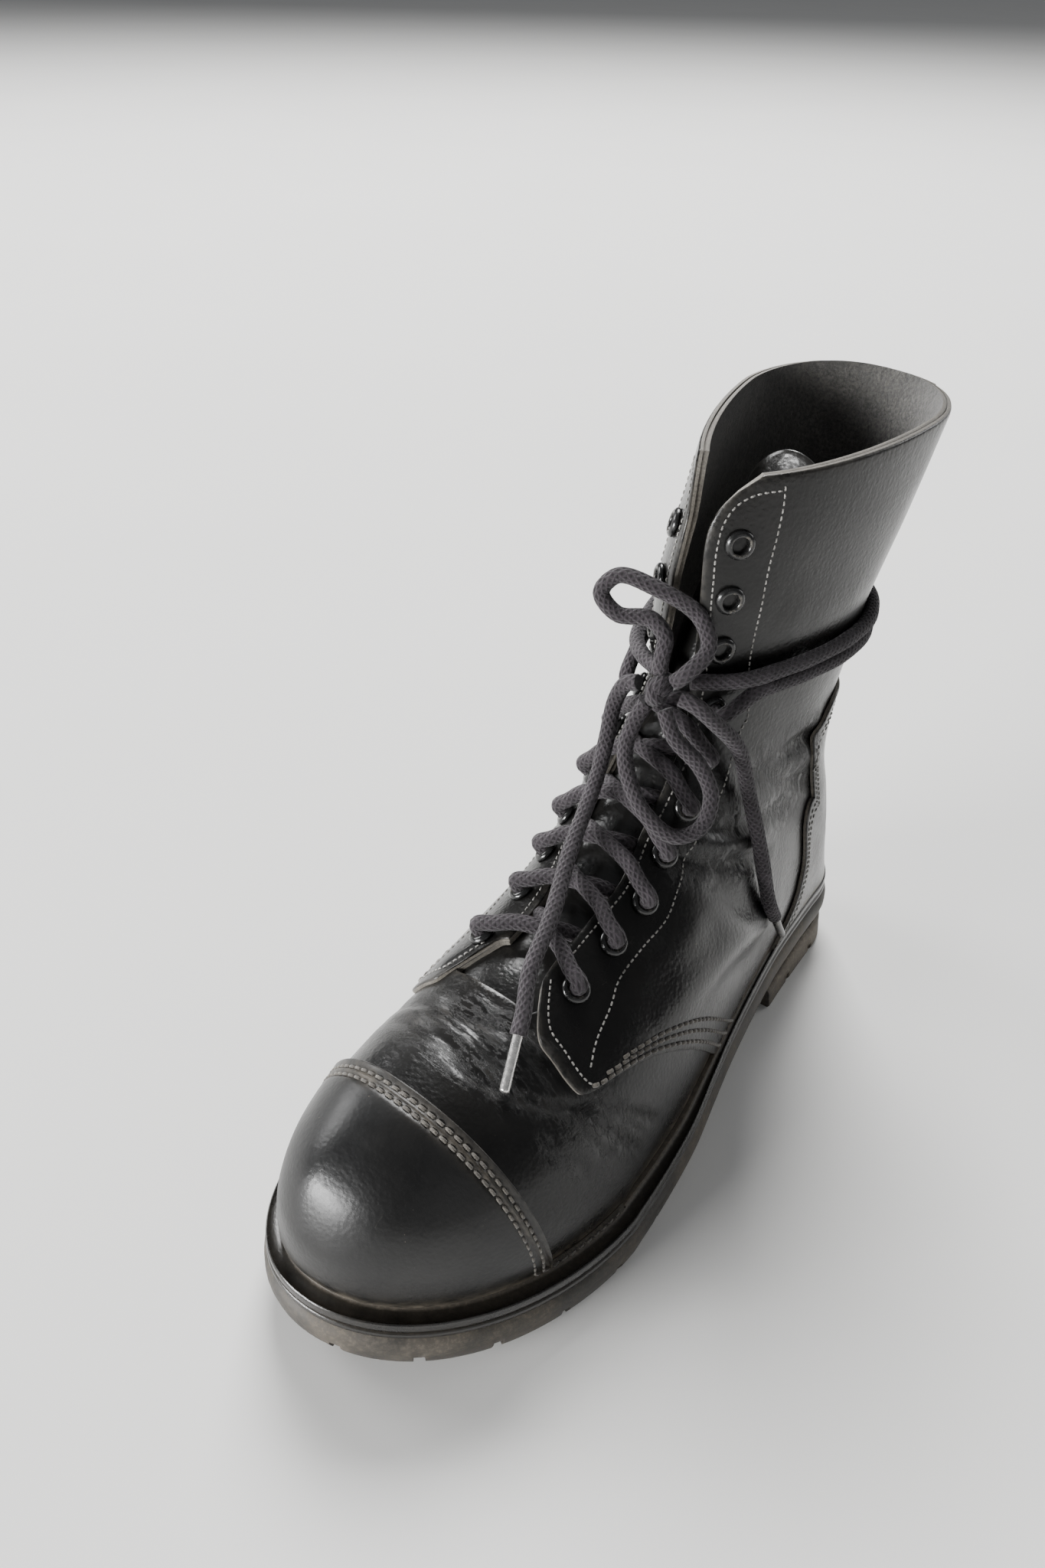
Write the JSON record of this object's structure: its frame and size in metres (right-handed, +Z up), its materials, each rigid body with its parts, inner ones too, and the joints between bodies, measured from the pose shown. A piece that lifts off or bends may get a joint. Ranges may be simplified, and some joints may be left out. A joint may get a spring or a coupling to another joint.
{
  "type": "steel toe boot",
  "caption": "Left high lace-up leather work boot with a capped steel toe, open collar, stitched welt, lugged rubber sole and separate heel.",
  "frame": {"origin": "middle of the heel's tread face, on the floor", "axes": "+Z up, toe towards -Y, outer (lateral) side of the left foot towards +X"},
  "size_m": [0.1145, 0.3133, 0.2399],
  "materials": {
    "sole_rubber": "matt, dusty",
    "welt_rubber": "semi-gloss black",
    "insole_board": "matt fibre board",
    "leather": "smooth black, semi-gloss",
    "polished_leather": "smooth black, polished",
    "tongue_leather": "soft black, semi-gloss",
    "eyelet_metal": "black enamel, worn at the rim",
    "lace": "round braid, charcoal",
    "aglet_metal": "bright crimped steel"
  },
  "bodies": {
    "root": {"outsole": "sole_rubber", "heel": "sole_rubber", "midsole": "welt_rubber", "welt": "welt_rubber", "insole": "insole_board", "upper": "leather", "toe_cap": "polished_leather", "counter": "leather", "back_tab": "leather", "tongue": "tongue_leather", "eyelet_lateral_1": "eyelet_metal", "eyelet_lateral_2": "eyelet_metal", "eyelet_lateral_3": "eyelet_metal", "eyelet_lateral_4": "eyelet_metal", "eyelet_lateral_5": "eyelet_metal", "eyelet_lateral_6": "eyelet_metal", "eyelet_lateral_7": "eyelet_metal", "eyelet_lateral_8": "eyelet_metal", "eyelet_lateral_9": "eyelet_metal", "eyelet_lateral_10": "eyelet_metal", "eyelet_medial_1": "eyelet_metal", "eyelet_medial_2": "eyelet_metal", "eyelet_medial_3": "eyelet_metal", "eyelet_medial_4": "eyelet_metal", "eyelet_medial_5": "eyelet_metal", "eyelet_medial_6": "eyelet_metal", "eyelet_medial_7": "eyelet_metal", "eyelet_medial_8": "eyelet_metal", "eyelet_medial_9": "eyelet_metal", "eyelet_medial_10": "eyelet_metal", "lace_cross_1": "lace", "lace_cross_2": "lace", "lace_cross_3": "lace", "lace_cross_4": "lace", "lace_cross_5": "lace", "lace_cross_6": "lace", "lace_wrap_upper": "lace", "lace_wrap_lower": "lace", "lace_knot": "lace", "lace_loop_upper": "lace", "lace_loop_lower": "lace", "lace_end_left": "lace", "lace_end_right": "lace", "aglet_left": "aglet_metal", "aglet_right": "aglet_metal"}
  },
  "joints": []
}
